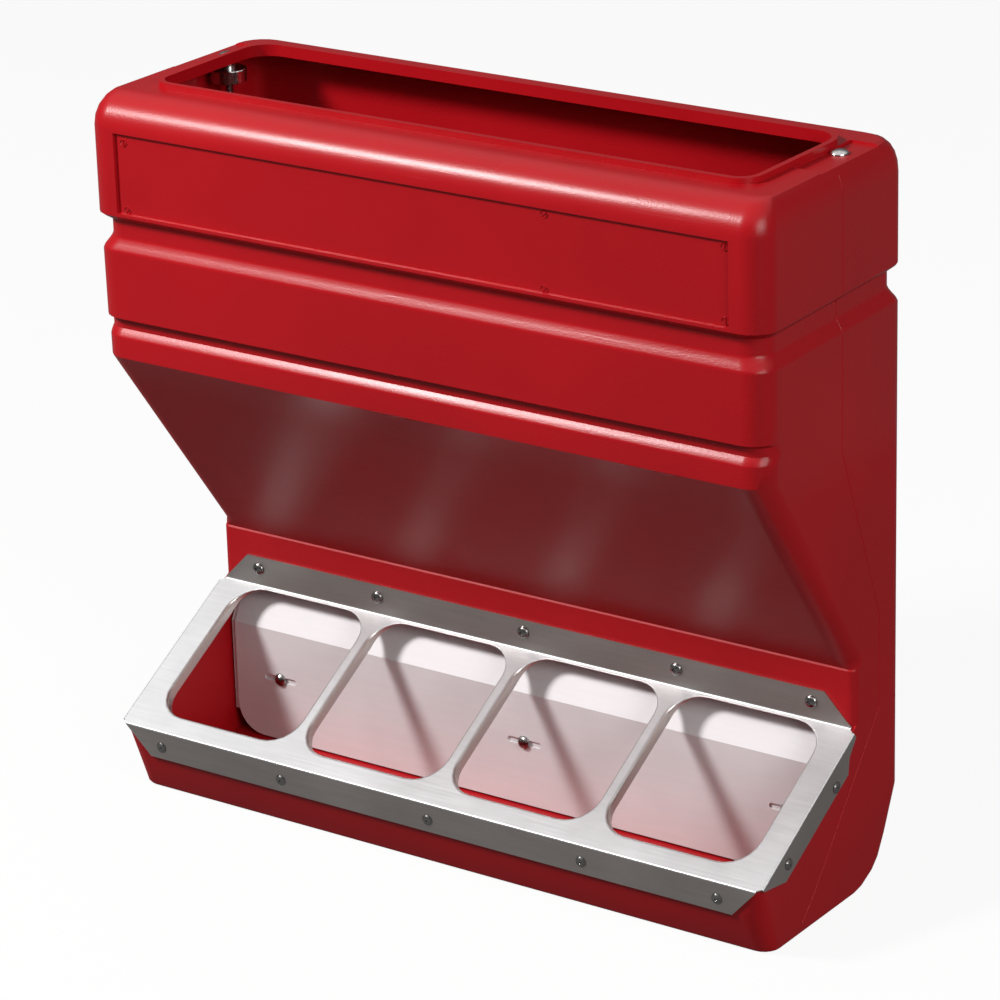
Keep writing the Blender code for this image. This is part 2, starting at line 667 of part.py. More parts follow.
def trough_frame(collection, cutters):
    """The folded steel frame with four head openings, riveted and bolted over the trough."""
    builder = bmesh.new()
    half = FRAME_HALF_WIDTH - BEND_RADIUS
    corner = FRAME_CORNER_CUT
    front_turn = math.pi / 2 + FRONT_FLANGE_LEAN - FRAME_SLOPE
    start = BEND_RADIUS * math.tan(front_turn / 2)
    end = FRAME_LENGTH - BEND_RADIUS * math.tan((math.pi / 2 - FRAME_SLOPE) / 2)
    side_stations = (corner, SIDE_FLANGE_RAMP, FRAME_LENGTH - SIDE_FLANGE_END,
                     FRAME_LENGTH - SIDE_FLANGE_TIP, FRAME_LENGTH - corner)
    side_drops = [SIDE_FLANGE * share for share in SIDE_FLANGE_SHARES]
    front = add_row(builder, [on_slope(half - corner, start), on_slope(corner - half, start)])
    left = add_row(builder, [on_slope(-half, along) for along in side_stations])
    back = add_row(builder, [on_slope(corner - half, end), on_slope(half - corner, end)])
    right = add_row(builder, [on_slope(half, along) for along in reversed(side_stations)])
    boundary = front + left + back + right
    edges = [builder.edges.new((boundary[index - 1], boundary[index])) for index in range(len(boundary))]
    first_opening = -OPENING_PITCH * (OPENINGS - 1) / 2
    for index in range(OPENINGS):
        loop = opening_rows(builder, first_opening + index * OPENING_PITCH)
        edges += [builder.edges.get((loop[step - 1], loop[step])) for step in range(len(loop))]
    bmesh.ops.triangle_fill(builder, use_beauty=True, use_dissolve=False, edges=edges,
                            normal=SLOPE_OUT)
    down = Vector((0.0, math.sin(FRONT_FLANGE_LEAN), -math.cos(FRONT_FLANGE_LEAN)))
    bend_rows(builder, front, -SLOPE_ALONG, down, FRONT_FLANGE, FRONT_FLANGE_CUT)
    bend_rows(builder, back, SLOPE_ALONG, Vector((0.0, 0.0, 1.0)), TOP_FLANGE, TOP_FLANGE_CUT)
    for edge, side in ((left, -1), (right, 1)):
        outwards = Vector((side, 0.0, 0.0))
        drops = side_drops if side < 0 else side_drops[::-1]
        rows = [edge]
        for angle in arc(BEND_STEPS)[1:]:
            shift = outwards * BEND_RADIUS * math.sin(angle) - SLOPE_OUT * BEND_RADIUS * (1 - math.cos(angle))
            rows.append(add_row(builder, [point.co + shift for point in edge]))
        rows.append(add_row(builder, [point.co - SLOPE_OUT * drop for point, drop in zip(rows[-1], drops)]))
        add_strip(builder, rows)
    face_outwards(builder, SLOPE_OUT)
    frame = new_object("trough_frame", builder, collection, "brushed_steel")
    add_wall(frame, SHEET)
    cut(frame, frame_holes(cutters))
    return frame


def frame_holes(cutters):
    """Holes in the frame's flanges for its bolts and rivets."""
    builder = bmesh.new()
    for x in BOLT_X:
        add_cylinder(builder, place(x, FRAME_TOP_DEPTH + SHEET / 2, BOLT_HEIGHT), (0, 1, 0),
                     BOLT_RADIUS + GAP, 4 * SHEET)
    for centre, axis in rivet_places():
        add_cylinder(builder, centre - axis * SHEET / 2, axis, RIVET_RADIUS + GAP, 4 * SHEET)
    return new_object("frame_holes", builder, cutters)


# Fasteners


def turned(name, profile, matrix, collection, sides=ROUND_SIDES):
    """A turned piece: a profile of radius and height, from its top to its foot, spun about local Z."""
    builder = bmesh.new()
    add_profile(builder, [(0.0, profile[0][1])] + profile + [(0.0, profile[-1][1])])
    item = new_object(name, builder, collection, "bright_steel")
    item.matrix_world = matrix
    add_spin(item, sides)
    return item


def dome(radius, height, shank, base, steps=3):
    """Profile of a domed head on a shank, from the dome's flat tip down to the shank."""
    profile = [(radius * math.cos(angle), base + height * math.sin(angle))
               for angle in reversed(arc(steps, 0.0, DOME_TURN))]
    return profile + [(shank, base)]


def nuts(names, seats, axis, flats, height, bore, collection, cutters):
    """Hexagon nuts whose near faces are at their seats, with their bores cut through."""
    corner = flats / 2 / math.cos(math.pi / 6)
    lift = Vector(axis) * height / 2
    bores = bmesh.new()
    for seat in seats:
        add_cylinder(bores, seat + lift, axis, bore, 2 * height)
    cutter = new_object(f"{names[0]}_bores", bores, cutters)
    for name, seat in zip(names, seats):
        builder = bmesh.new()
        add_cylinder(builder, seat + lift, axis, corner, height, 6)
        cut(new_object(name, builder, collection, "bright_steel"), cutter)


def frame_fixings(collection, cutters):
    """Bolts and nuts of the frame's top flange, and the rivets of its other flanges."""
    grip = SHEET + WALL + 3 * GAP + BOLT_NUT_HEIGHT + BOLT_END
    profile = dome(BOLT_HEAD_RADIUS, BOLT_HEAD_HEIGHT, BOLT_RADIUS, 0.0) + [(BOLT_RADIUS, -grip)]
    for number, x in enumerate(BOLT_X, 1):
        seat = place(x, FRAME_TOP_DEPTH - GAP, BOLT_HEIGHT)
        turned(f"frame_bolt_{number}", profile, facing(seat, (0, -1, 0)), collection)
    nuts([f"frame_nut_{number}" for number in range(1, 1 + len(BOLT_X))],
         [place(x, THROAT_FACE + WALL + GAP, BOLT_HEIGHT) for x in BOLT_X], (0, 1, 0),
         BOLT_NUT_FLATS, BOLT_NUT_HEIGHT, BOLT_RADIUS + GAP, collection, cutters)
    names = [f"front_rivet_{number}" for number in range(1, 1 + len(BOLT_X))]
    names += [f"{side}_rivet_{number}" for side in ("left", "right") for number in (1, 2)]
    for name, (centre, axis) in zip(names, rivet_places()):
        side_gap = FRAME_HALF_WIDTH - SHEET - side_at(centre.z, centre.y + BODY_DEPTH / 2)
        between = side_gap if abs(axis.x) > 0.5 else GAP
        tail = SHEET + between + WALL + 2 * GAP
        head = dome(RIVET_HEAD_RADIUS, RIVET_HEAD_HEIGHT, RIVET_RADIUS, GAP, 2)
        crown = head[0][1]
        hole = [(RIVET_HOLE_RADIUS, crown - RIVET_HOLE_DEPTH), (RIVET_HOLE_RADIUS, crown)]
        end = [(RIVET_RADIUS, -tail), (RIVET_TAIL_RADIUS, -tail),
               (RIVET_TAIL_TIP, -tail - RIVET_HEAD_HEIGHT)]
        turned(name, hole + head + end, facing(centre, axis), collection, SMALL_SIDES)


# Feed gate and agitator plate


def plate_depth(face, height):
    """Depth of a plate's face: upright up to the bend, then leaning back."""
    return face + max(0.0, height - PLATE_BEND) * math.tan(PLATE_SLOPE)


def agitator_half_width():
    """Half width that leaves the agitator its travel between the trough's side walls."""
    inner = side_at(AGITATOR_BOTTOM, AGITATOR_FACE) - WALL
    return inner - AGITATOR_TRAVEL - SIDE_CLEARANCE


def slot_outline(x, depth):
    """Outline of a slot with round ends, on an upright plane."""
    radius = SLOT_HEIGHT / 2
    reach = SLOT_LENGTH / 2 - radius
    points = []
    for side, start in ((1, -90.0), (-1, 90.0)):
        for angle in arc(6, math.radians(start), math.pi):
            points.append(place(x + side * reach + radius * math.cos(angle), depth,
                                SLOT_LEVEL + radius * math.sin(angle)))
    return points


def agitator_plate(collection, cutters):
    """The bent plate with three slots that pigs push from side to side."""
    half = agitator_half_width()
    corner = AGITATOR_CORNER
    rows = [(half - corner * (1 - math.sin(angle)), AGITATOR_BOTTOM + corner * (1 - math.cos(angle)))
            for angle in arc(6)]
    rows += [(half, PLATE_BEND), (half, PLATE_BEND + AGITATOR_RISE)]
    builder = bmesh.new()
    strips = [add_row(builder, [place(side * reach, plate_depth(AGITATOR_FACE, height), height)
                                for side in (-1, 1)]) for reach, height in rows]
    add_strip(builder, strips)
    face_outwards(builder, Vector((0.0, -1.0, 0.0)))
    origin = place(0.0, AGITATOR_FACE, SLOT_LEVEL)
    plate = new_object("agitator_plate", builder, collection, "brushed_steel", origin)
    add_wall(plate, SHEET)
    builder = bmesh.new()
    for x in SLOT_X:
        add_prism(builder, slot_outline(x, AGITATOR_FACE - SHEET), Vector((0.0, 3 * SHEET, 0.0)))
    cut(plate, new_object("agitator_slots", builder, cutters))


def feed_gate(collection, cutters):
    """The gate behind the agitator, with the ledge on top that the rods lift."""
    half = side_at(GATE_BOTTOM, GATE_FACE) - WALL - GATE_SIDE_GAP
    web_turn = PLATE_BEND + (GATE_WEB_FACE - GATE_FACE) / math.tan(PLATE_SLOPE)
    profile = [(GATE_FACE, GATE_BOTTOM), (GATE_FACE, PLATE_BEND), (GATE_WEB_FACE, web_turn),
               (GATE_WEB_FACE, GATE_LEDGE), (GATE_LEDGE_FRONT, GATE_LEDGE)]
    builder = bmesh.new()
    row = add_row(builder, [place(-half, depth, height) for depth, height in profile])
    edges = [builder.edges.new(pair) for pair in zip(row, row[1:])]
    drawn = bmesh.ops.extrude_edge_only(builder, edges=edges)["geom"]
    corners = [item for item in drawn if isinstance(item, bmesh.types.BMVert)]
    bmesh.ops.translate(builder, verts=corners, vec=(2 * half, 0.0, 0.0))
    face_outwards(builder, Vector((0.0, -1.0, 0.0)))
    gate = new_object("feed_gate", builder, collection, "brushed_steel", place(0.0, GATE_FACE, GATE_BOTTOM))
    add_wall(gate, SHEET)
    builder = bmesh.new()
    for x in SLOT_X:
        add_cylinder(builder, place(x, GATE_FACE, SLOT_LEVEL), (0, 1, 0), SCREW_RADIUS + GAP, 6 * SHEET)
    for side in (-1, 1):
        add_cylinder(builder, place(side * ROD_X, ROD_DEPTH, GATE_LEDGE), (0, 0, 1),
                     ROD_RADIUS + GAP, 6 * SHEET)
    cut(gate, new_object("gate_holes", builder, cutters))


def agitator_screws(collection, cutters):
    """Button-head screws in the slots, each with a nut behind the gate."""
    grip = 2 * SHEET + 3 * GAP + SCREW_NUT_HEIGHT + BOLT_END
    profile = dome(SCREW_HEAD_RADIUS, SCREW_HEAD_HEIGHT, SCREW_RADIUS, 0.0) + [(SCREW_RADIUS, -grip)]
    for number, x in enumerate(SLOT_X, 1):
        seat = place(x, AGITATOR_FACE - GAP, SLOT_LEVEL)
        turned(f"agitator_screw_{number}", profile, facing(seat, (0, -1, 0)), collection)
    nuts([f"agitator_nut_{number}" for number in range(1, 1 + len(SLOT_X))],
         [place(x, GATE_FACE + SHEET + GAP, SLOT_LEVEL) for x in SLOT_X], (0, 1, 0),
         SCREW_NUT_FLATS, SCREW_NUT_HEIGHT, SCREW_RADIUS + GAP, collection, cutters)


# Adjusting rods


def knob(name, x, collection, cutters):
    """A knurled cup-shaped wheel with a hub on top, open underneath round the rod."""
    rim_top = DECK_UNDERSIDE - GAP - KNOB_HUB_HEIGHT
    bore = ROD_RADIUS + GAP
    inner = KNOB_RADIUS - KNOB_RIM_WALL
    profile = [(bore, KNOB_HUB_HEIGHT), (KNOB_HUB_RADIUS, KNOB_HUB_HEIGHT), (KNOB_HUB_RADIUS, 0.0),
               (KNOB_RADIUS - KNOB_BEVEL, 0.0), (KNOB_RADIUS, -KNOB_BEVEL),
               (KNOB_RADIUS, KNOB_BEVEL - KNOB_RIM_HEIGHT), (KNOB_RADIUS - KNOB_BEVEL, -KNOB_RIM_HEIGHT),
               (inner, -KNOB_RIM_HEIGHT), (inner, -KNOB_WEB), (bore, -KNOB_WEB)]
    builder = bmesh.new()
    add_profile(builder, profile, closed=True)
    wheel = new_object(name, builder, collection, "bright_steel")
    wheel.location = place(x, ROD_DEPTH, rim_top)
    add_spin(wheel, KNOB_TEETH)
    builder = bmesh.new()
    reach = KNOB_RADIUS + KNOB_TOOTH
    rim_middle = wheel.location - Vector((0.0, 0.0, KNOB_RIM_HEIGHT / 2))
    for angle in arc(KNOB_TEETH, 0.0, math.tau)[:-1]:
        groove = rim_middle + Vector((reach * math.cos(angle), reach * math.sin(angle), 0.0))
        add_cylinder(builder, groove, (0, 0, 1), 2 * KNOB_TOOTH, 2 * KNOB_RIM_HEIGHT, 4, angle)
    cut(wheel, new_object(f"{name}_knurl", builder, cutters))
    return wheel


def adjusting_rods(collection, cutters):
    """Rods with a button head on the deck, each with its knob, set screw and gate nut."""
    end = ROD_END - PAD_HEIGHT
    profile = dome(ROD_HEAD_RADIUS, ROD_HEAD_HEIGHT, ROD_RADIUS, GAP)
    profile += [(ROD_RADIUS, end + ROD_TIP), (ROD_RADIUS - ROD_TIP, end)]
    inner = ROD_RADIUS + GAP
    length = KNOB_HUB_RADIUS - inner + SET_SCREW_PROUD
    level = DECK_UNDERSIDE - GAP - KNOB_HUB_HEIGHT / 2
    for side, sign in (("left", -1), ("right", 1)):
        x = sign * ROD_X
        seat = place(x, ROD_DEPTH, PAD_HEIGHT)
        turned(f"{side}_adjusting_rod", profile, Matrix.Translation(seat), collection)
        wheel = knob(f"{side}_adjusting_knob", x, collection, cutters)
        middle = place(x - sign * (inner + length / 2), ROD_DEPTH, level)
        builder = bmesh.new()
        add_cylinder(builder, middle, (1, 0, 0), SET_SCREW_RADIUS, length, SMALL_SIDES)
        new_object(f"{side}_set_screw", builder, collection, "bright_steel")
        builder = bmesh.new()
        add_cylinder(builder, middle, (1, 0, 0), SET_SCREW_RADIUS + GAP, 2 * length, SMALL_SIDES)
        cut(wheel, new_object(f"{side}_set_screw_hole", builder, cutters))
    nuts(["left_gate_nut", "right_gate_nut"],
         [place(x, ROD_DEPTH, GATE_LEDGE - GAP) for x in (-ROD_X, ROD_X)], (0, 0, -1),
         ROD_NUT_FLATS, ROD_NUT_HEIGHT, ROD_RADIUS + GAP, collection, cutters)


def build():
    """Make every piece of the feeder."""
    clear_scene()
    feeder = new_collection("nursery_feeder")
    cutters = new_collection("cutters")
    hopper_shell(feeder, cutters)
    trough_frame(feeder, cutters)
    frame_fixings(feeder, cutters)
    agitator_plate(feeder, cutters)
    feed_gate(feeder, cutters)
    agitator_screws(feeder, cutters)
    adjusting_rods(feeder, cutters)


build()
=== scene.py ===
"""Dresses a moulded nursery feeder: red plastic hopper, folded steel frame and bright fixings."""
import math

import bmesh
import bpy
from mathutils import Matrix, Vector
from mathutils.bvhtree import BVHTree


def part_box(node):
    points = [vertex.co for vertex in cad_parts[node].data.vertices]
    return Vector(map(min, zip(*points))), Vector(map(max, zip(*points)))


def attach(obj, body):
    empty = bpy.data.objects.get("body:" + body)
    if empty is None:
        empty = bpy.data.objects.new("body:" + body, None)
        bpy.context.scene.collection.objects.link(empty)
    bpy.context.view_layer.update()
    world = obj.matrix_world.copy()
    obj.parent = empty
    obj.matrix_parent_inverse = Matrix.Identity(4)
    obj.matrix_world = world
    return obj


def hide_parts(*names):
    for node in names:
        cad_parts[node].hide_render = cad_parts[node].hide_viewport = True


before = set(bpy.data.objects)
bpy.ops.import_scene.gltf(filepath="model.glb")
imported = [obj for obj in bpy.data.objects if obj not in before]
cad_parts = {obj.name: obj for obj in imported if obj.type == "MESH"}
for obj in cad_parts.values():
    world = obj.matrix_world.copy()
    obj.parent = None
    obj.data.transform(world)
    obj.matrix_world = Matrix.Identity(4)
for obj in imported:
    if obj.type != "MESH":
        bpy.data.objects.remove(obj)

bl_info = {
    "name": "Nursery Feeder",
    "version": (1, 0, 0),
    "blender": (4, 5, 0),
    "location": "View3D > Sidebar > Feeder",
    "description": "Builds the finished pieces of a moulded pig nursery feeder",
    "category": "Object",
}

# Path of the mould's parting line down each side: world Y and Z
PARTING_LINE = ((0.0120, 0.5740), (0.0120, 0.4900), (0.0125, 0.3660), (0.0700, 0.2190),
                (0.0705, 0.1430), (0.0660, 0.1370), (-0.0270, 0.0240), (-0.0450, 0.0060))

# The ridge on that line: about how far its points lie apart, and the share of its radius in the wall
RIDGE_STRETCH = 0.003
RIDGE_SINK = 0.45

# Prints of the mould's small screws on the front panel: X, Z and the slot's turn in degrees
SCREW_PRINTS = ((-0.2676, 0.5458, 90.0), (-0.2671, 0.4922, 40.0), (0.1201, 0.5485, 40.0),
                (0.1189, 0.4921, 50.0), (0.2718, 0.5477, 85.0), (0.2721, 0.4936, 95.0))

# Heights between which the moulding turns dull on its way down
SHINY_OVER = 0.37
DULL_UNDER = 0.34

# The frame's sloped face: the way it faces, and how far along that it lies from the origin
SLOPE_OUT = (0.0, -0.5, math.sqrt(0.75))
SLOPE_LEVEL = 0.10462

# Distances from that face's middle where its brushed finish is whole, and where it has ended and the
# folds' painted shade begins
SLOPE_WHOLE = 0.0004
SLOPE_END = 0.0010

# Depths of the bumps on moulded and sheet surfaces, and on small fixings
GRAIN_DEPTH = 0.0003
MARK_DEPTH = 0.0001

# A bolt: the height of its button head, and the length of its shank
BOLT_HEAD = 0.0030
BOLT_SHANK = 0.0104

# A rod's head: its height in the solids, and the brim, dome and plain neck of the finished one
ROD_HEAD = 0.0029
ROD_BRIM = 0.0002
ROD_DOME = 0.0028
ROD_NECK = 0.012

# A rod's thread: its radius at the crest, the steps in one turn, and the bare end at its foot
THREAD_CREST = 0.0032
THREAD_STEPS = 12
THREAD_END = 0.0002

# Points closer than these are joined, in a copied mesh and in a turned shape
WELD = 0.00001
FINE_WELD = 0.000001

# Faces that lean less than this from each other are one flat face, in degrees
FLAT_ANGLE = 0.4

# The studio: its floor, its lamps and the point that they face
FLOOR_SIZE = 14.0
FLOOR_DROP = 0.0003
KEY_PLACE = (-1.55, -1.6, 2.2)
KEY_SIZE = 0.56
FILL_PLACE = (2.6, -1.2, 1.7)
FILL_SIZE = 1.6
LAMP_AIM = (0.0, 0.0, 0.3)

# How steeply a reflected ray rises where the surroundings leave the horizon's level, and are white
OVERHEAD_START = 0.45
OVERHEAD_WHOLE = 0.80

# The camera: its place, its turn in degrees, and its lens and sensor in millimetres
CAMERA_PLACE = (1.81689, -2.55315, 1.46246)
CAMERA_TURN = (69.22225, 1.56099, 34.79644)
CAMERA_LENS = 157.08
CAMERA_SENSOR = 36.0


class Value:
    """A shader socket that Python's operators add Math nodes to."""

    def __init__(self, graph, socket):
        self.graph = graph
        self.socket = socket

    def joined(self, operation, first, second):
        """A Math node on two values."""
        return self.graph.node("ShaderNodeMath", {"operation": operation}, {0: first, 1: second})

    def __add__(self, other):
        return self.joined("ADD", self, other)

    __radd__ = __add__

    def __mul__(self, other):
        return self.joined("MULTIPLY", self, other)

    def __sub__(self, other):
        return self.joined("SUBTRACT", self, other)

    def __rsub__(self, other):
        return self.joined("SUBTRACT", other, self)

    def __abs__(self):
        return self.graph.node("ShaderNodeMath", {"operation": "ABSOLUTE"}, {0: self})


class Graph:
    """A material's nodes, with its Principled shader."""

    def __init__(self, name):
        self.material = bpy.data.materials.new(name)
        self.material.use_nodes = True
        self.tree = self.material.node_tree
        self.shader = self.tree.nodes["Principled BSDF"]

    def feed(self, socket, value):
        """Link a value to a socket, or set it."""
        if isinstance(value, Value):
            self.tree.links.new(value.socket, socket)
        else:
            socket.default_value = value

    def node(self, kind, settings=None, sockets=None, output=0):
        """Add a node: its settings first, then what its sockets hold."""
        node = self.tree.nodes.new(kind)
        for name, value in (settings or {}).items():
            setattr(node, name, value)
        for name, value in (sockets or {}).items():
            self.feed(node.inputs[name], value)
        return Value(self, node.outputs[output])

    def place(self, stretch=(1.0, 1.0, 1.0)):
        """Object coordinates, stretched along the axes."""
        point = self.node("ShaderNodeTexCoord", output="Object")
        return self.node("ShaderNodeMapping", sockets={"Vector": point, "Scale": stretch})

    def noise(self, scale, detail=3.0, stretch=(1.0, 1.0, 1.0)):
        """Noise from about 0.3 to 0.7."""
        return self.node("ShaderNodeTexNoise",
                         sockets={"Vector": self.place(stretch), "Scale": scale, "Detail": detail})

    def spread(self, value, low, high):
        """A value cut to a range and spread over 0 to 1."""
        return self.node("ShaderNodeMapRange", sockets={"Value": value, "From Min": low, "From Max": high})

    def mixed(self, share, first, second):
        """One colour turning into another."""
        return self.node("ShaderNodeMix", {"data_type": "RGBA"}, {0: share, 6: first, 7: second}, 2)

    def raised(self, height, strength, distance):
        """Bump from a height."""
        bump = self.node("ShaderNodeBump",
                         sockets={"Height": height, "Strength": strength, "Distance": distance})
        self.feed(self.shader.inputs["Normal"], bump)

    def finish(self, **sockets):
        """Set or link the shader's sockets, named with underscores."""
        for name, value in sockets.items():
            self.feed(self.shader.inputs[name.replace("_", " ").title().replace("Ior", "IOR")], value)
        return self.material


def shade(colour, level=1.0):
    """A colour made darker or lighter, with full alpha."""
    return (*(Vector(colour) * level), 1.0)


def moulded_plastic(looks):
    """Satin polyethylene, duller below the skirt: faint clouding, fine grain and hairline scratches."""
    graph = Graph("moulded_plastic")
    clouds = graph.spread(graph.noise(7.0), 0.32, 0.68)
    scratches = graph.spread(graph.noise(60.0, 4.0, (0.25, 1.0, 6.0)), 0.60, 0.74)
    height = graph.node("ShaderNodeSeparateXYZ", sockets={0: graph.place()}, output="Z")
    dull = graph.spread(height, SHINY_OVER, DULL_UNDER) * looks.dulling
    graph.raised(graph.noise(700.0) + scratches * 0.4, looks.grain, GRAIN_DEPTH)
    colour = graph.mixed(clouds, shade(looks.colour, 0.94), shade(looks.colour, 1.06))
    return graph.finish(base_color=colour, specular_ior_level=looks.shine,
                        roughness=looks.roughness + dull + clouds * 0.05 + scratches * 0.06)


def folded_steel(looks):
    """The frame's sheet: a pale brushed face on its slope, and painted shade on its folds: a darker colour
    standing in for the dark reflection they would show.
    """
    graph = Graph("folded_steel")
    point = graph.node("ShaderNodeTexCoord", output="Object")
    along = graph.node("ShaderNodeVectorMath", {"operation": "DOT_PRODUCT"},
                       {0: point, 1: SLOPE_OUT}, "Value")
    face = graph.spread(abs(along - SLOPE_LEVEL), SLOPE_END, SLOPE_WHOLE)
    streaks = graph.spread(graph.noise(34.0, 5.0, (0.6, 14.0, 14.0)), 0.30, 0.70)
    film = graph.spread(graph.noise(16.0, 4.0), 0.35, 0.70)
    wear = film * 0.5 + streaks * 0.5
    brushed = graph.mixed(wear, shade(looks.colour, 0.90), shade(looks.colour))
    # Painted shade: the folds take a darker copy of the sheet's colour, standing in for their dark
    # reflection
    fold_shade = graph.mixed(wear, shade(looks.fold_shade_colour, 0.86), shade(looks.fold_shade_colour))
    graph.raised(streaks, 0.08, GRAIN_DEPTH)
    return graph.finish(base_color=graph.mixed(face, fold_shade, brushed), metallic=1.0 - face * looks.satin,
                        roughness=looks.roughness + film * 0.08 + streaks * 0.05)


def plate_steel(looks):
    """The two plates' pale sheet: hardly a mirror, with a soft mottle and faint streaks."""
    graph = Graph("plate_steel")
    streaks = graph.spread(graph.noise(30.0, 4.0, (0.5, 8.0, 8.0)), 0.30, 0.70)
    film = graph.spread(graph.noise(22.0, 4.0), 0.35, 0.70)
    mottle = film * 0.6 + streaks * 0.4
    colour = graph.mixed(mottle, shade(looks.plate_colour, 0.93), shade(looks.plate_colour))
    graph.raised(streaks, 0.05, GRAIN_DEPTH)
    return graph.finish(base_color=colour, metallic=0.08, roughness=0.50 + film * 0.10,
                        specular_ior_level=0.3)


def plated_metal(name, colour):
    """Plated fixings with small marks from handling."""
    graph = Graph(name)
    marks = graph.spread(graph.noise(420.0), 0.40, 0.70)
    graph.raised(marks, 0.08, MARK_DEPTH)
    return graph.finish(base_color=graph.mixed(marks, shade(colour), shade(colour, 0.72)), metallic=1.0,
                        roughness=0.18 + marks * 0.12)


def pale_floor(looks):
    """A floor that is near white with a soft shadow to the camera, and a calm grey to the feeder."""
    graph = Graph("pale_floor")
    seen = graph.node("ShaderNodeLightPath", output="Is Camera Ray")
    mirrored = graph.node("ShaderNodeLightPath", output="Is Glossy Ray")
    bounce = (looks.floor_bounce, looks.floor_bounce, looks.floor_bounce, 1.0)
    graph.finish(base_color=graph.mixed(seen, bounce, shade(looks.floor_colour)), roughness=0.85)
    glow = graph.node("ShaderNodeEmission", sockets={"Color": (1.0, 1.0, 1.0, 1.0), "Strength": 1.0})
    share = seen * looks.floor_glow + mirrored * looks.floor_mirrored
    whole = graph.node("ShaderNodeMixShader",
                       sockets={0: share, 1: Value(graph, graph.shader.outputs[0]), 2: glow})
    graph.feed(graph.tree.nodes["Material Output"].inputs["Surface"], whole)
    return graph.material


def merged_copy(node):
    """A CAD node's mesh with its loose triangles joined and its flat faces made whole."""
    builder = bmesh.new()
    builder.from_mesh(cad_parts[node].data)
    bmesh.ops.remove_doubles(builder, verts=builder.verts, dist=WELD)
    bmesh.ops.dissolve_limit(builder, angle_limit=math.radians(FLAT_ANGLE), verts=builder.verts,
                             edges=builder.edges)
    return builder


def soften(builder, width, angle):
    """Round the edges that are sharper than an angle in degrees."""
    edges = [edge for edge in builder.edges
             if len(edge.link_faces) == 2 and edge.calc_face_angle(0.0) > math.radians(angle)]
    bmesh.ops.bevel(builder, geom=edges, offset=width, offset_type="OFFSET", segments=2, profile=0.5,
                    affect="EDGES", clamp_overlap=True, material=-1)


def finished(name, builder, material, body, nodes, sharp):
    """Make a mesh a finished piece that rides on a body, with the CAD nodes it stands for, if any."""
    mesh = bpy.data.meshes.new(name)
    builder.to_mesh(mesh)
    builder.free()
    mesh.shade_smooth()
    mesh.set_sharp_from_angle(angle=math.radians(sharp))
    mesh.materials.append(material)
    piece = bpy.data.objects.new(name, mesh)
    bpy.context.scene.collection.objects.link(piece)
    weights = piece.modifiers.new("flat_faces", "WEIGHTED_NORMAL")
    weights.keep_sharp = True
    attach(piece, body)
    if nodes:
        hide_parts(*nodes)


def profile_line(builder, profile):
    """A line of points, given as radius and height, and the edges between them."""
    points = [builder.verts.new((radius, 0.0, height)) for radius, height in profile]
    return points + [builder.edges.new(pair) for pair in zip(points, points[1:])]


def spun(profile, matrix, steps):
    """A turned shape: a profile of radius and height, spun about local Z and put in place."""
    builder = bmesh.new()
    bmesh.ops.spin(builder, geom=profile_line(builder, profile), cent=(0.0, 0.0, 0.0),
                   axis=(0.0, 0.0, 1.0), angle=math.tau, steps=steps, use_merge=True)
    bmesh.ops.remove_doubles(builder, verts=builder.verts, dist=FINE_WELD)
    bmesh.ops.recalc_face_normals(builder, faces=builder.faces)
    bmesh.ops.transform(builder, matrix=matrix, verts=builder.verts)
    return builder


def whole_mesh(builder):
    """All the points, edges and faces of a mesh."""
    return builder.verts[:] + builder.edges[:] + builder.faces[:]


def paint(nodes, material):
    """Give CAD nodes that stay a material of their own."""
    for node in nodes:
        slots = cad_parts[node].data.materials
        slots.clear()
        slots.append(material)


def named(*starts):
    """CAD nodes whose names start in one of these ways."""
    return sorted(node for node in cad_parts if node.startswith(starts))


class FeederShellLooks(bpy.types.PropertyGroup):
    """Sizes and colours of the moulding."""

    colour: bpy.props.FloatVectorProperty(
        name="Colour", description="Colour of the moulded plastic",
        subtype="COLOR", size=3, default=(0.44, 0.0055, 0.010))
    roughness: bpy.props.FloatProperty(
        name="Roughness", description="How dull the plastic is",
        subtype="FACTOR", default=0.26, min=0.0, max=1.0)
    shine: bpy.props.FloatProperty(
        name="Shine", description="Level of the plastic's plain reflection",
        subtype="FACTOR", default=0.30, min=0.0, max=1.0)
    grain: bpy.props.FloatProperty(
        name="Grain", description="Strength of the fine moulding grain",
        subtype="FACTOR", default=0.30, min=0.0, max=1.0)
    dulling: bpy.props.FloatProperty(
        name="Dulling", description="How much duller the plastic is low down",
        subtype="FACTOR", default=0.16, min=0.0, max=1.0)
    edge: bpy.props.FloatProperty(
        name="Edge rounding", description="Rounding of the moulding's edges",
        unit="LENGTH", default=0.0008, min=0.0)
    seam: bpy.props.FloatProperty(
        name="Parting line", description="Radius of the ridge on the parting line",
        unit="LENGTH", default=0.0007, min=0.0)
    mark: bpy.props.FloatProperty(
        name="Screw print", description="Radius of a mould screw's print",
        unit="LENGTH", default=0.0034, min=0.0)


